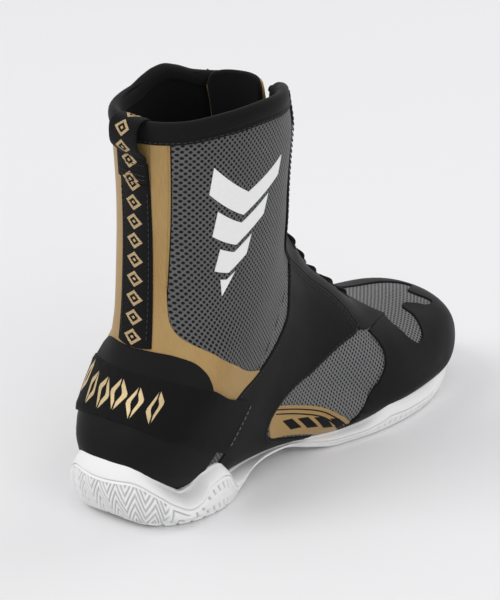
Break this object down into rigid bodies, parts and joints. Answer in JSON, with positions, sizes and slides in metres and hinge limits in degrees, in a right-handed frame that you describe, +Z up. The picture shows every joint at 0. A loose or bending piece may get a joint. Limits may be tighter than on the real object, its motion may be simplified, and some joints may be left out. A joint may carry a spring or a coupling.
{
  "type": "boxing boot",
  "caption": "High-cut boxing boot for the left foot: mesh shaft with gold and black overlays, elastic heel band, pull loop, laced front and a white cup outsole.",
  "frame": {"origin": "on the ground, under the middle of the boot's bounding box", "axes": "+Y from heel to toe, +X to the medial side (towards the other foot), +Z up"},
  "size_m": [0.1048, 0.2881, 0.2175],
  "materials": {
    "board_grey": "stitched lasting board",
    "elastic_black": "black ribbed elastic",
    "emblem_white": "white transfer film",
    "eyelet_black": "black enamelled eyelet",
    "foam_white": "moulded EVA foam",
    "gold_panel": "satin gold woven cloth",
    "lace_black": "round braided black lace",
    "lining_black": "black brushed tricot lining",
    "mesh_grey": "grey spacer mesh, diagonal open weave",
    "microfibre_black": "matt black microfibre with stitched edges",
    "padding_black": "padded black collar cloth",
    "rubber_white": "moulded matt white rubber with a herringbone tread",
    "stiffener": "thermoplastic stiffener",
    "webbing_black": "black woven webbing with a gold pattern"
  },
  "bodies": {
    "boot": {"arch_panel_lateral": "gold_panel", "arch_panel_medial": "gold_panel", "back_panel": "gold_panel", "back_strap": "webbing_black", "band_bars": "gold_panel", "collar_binding": "padding_black", "collar_pad_lateral": "padding_black", "collar_pad_medial": "padding_black", "diagonal_overlay_lateral": "microfibre_black", "diagonal_overlay_medial": "microfibre_black", "emblem_lateral": "emblem_white", "emblem_medial": "emblem_white", "eyelets_lateral": "eyelet_black", "eyelets_medial": "eyelet_black", "eyestay_lateral": "microfibre_black", "eyestay_medial": "microfibre_black", "foot_lining_lateral": "lining_black", "foot_lining_medial": "lining_black", "forefoot_cushion": "foam_white", "gold_flare_lateral": "gold_panel", "gold_flare_medial": "gold_panel", "heel_band": "elastic_black", "heel_collar_overlay": "microfibre_black", "heel_counter": "stiffener", "heel_cushion": "foam_white", "heel_lower_overlay": "microfibre_black", "lace": "lace_black", "midsole_fore": "foam_white", "midsole_heel": "foam_white", "outsole": "rubber_white", "pull_loop": "webbing_black", "quarter_mesh_lateral": "mesh_grey", "quarter_mesh_medial": "mesh_grey", "shaft_lining_lateral": "lining_black", "shaft_lining_medial": "lining_black", "shaft_mesh_lateral": "mesh_grey", "shaft_mesh_medial": "mesh_grey", "shank": "stiffener", "sockliner": "lining_black", "strobel_board": "board_grey", "toe_lining": "lining_black", "toe_overlay": "microfibre_black", "toe_puff": "stiffener", "vamp_mesh": "mesh_grey"},
    "tongue": {"lace_keeper": "padding_black", "tongue_binding": "padding_black", "tongue_face": "padding_black", "tongue_foam": "padding_black", "tongue_lining": "lining_black"}
  },
  "joints": [
    {"name": "tongue_hinge", "type": "hinge", "parent": "boot", "child": "tongue", "pos_m": [0.0026, 0.0521, 0.0619], "axis": [1, 0, 0], "range_deg": [0, 9]}
  ]
}
